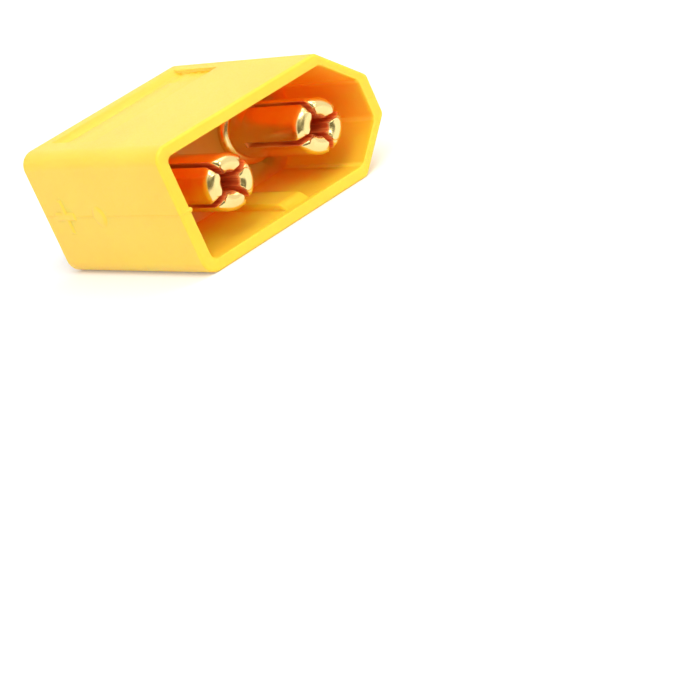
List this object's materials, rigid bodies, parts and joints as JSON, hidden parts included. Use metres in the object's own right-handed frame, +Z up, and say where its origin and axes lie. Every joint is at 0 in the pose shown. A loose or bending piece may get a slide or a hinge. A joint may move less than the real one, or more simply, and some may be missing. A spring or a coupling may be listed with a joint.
{
  "type": "xt60 connector",
  "caption": "Yellow moulded power connector plug: a keyed shroud around split gold contact pins, with half-open solder cups behind.",
  "frame": {"origin": "centre of the bounding box in X and Y, on the lower broad face, on which the plug lies", "axes": "+Z up through the broad faces, -Y out of the mouth of the shroud, +Y out of the solder cups, -X the flat side with the positive contact, +X the keyed side with the negative contact"},
  "size_m": [0.0156, 0.02, 0.0083],
  "materials": {
    "yellow_nylon": "satin",
    "gold_plate": "polished"
  },
  "bodies": {
    "root": {"housing": "yellow_nylon", "positive_contact": "gold_plate", "negative_contact": "gold_plate"}
  },
  "joints": []
}
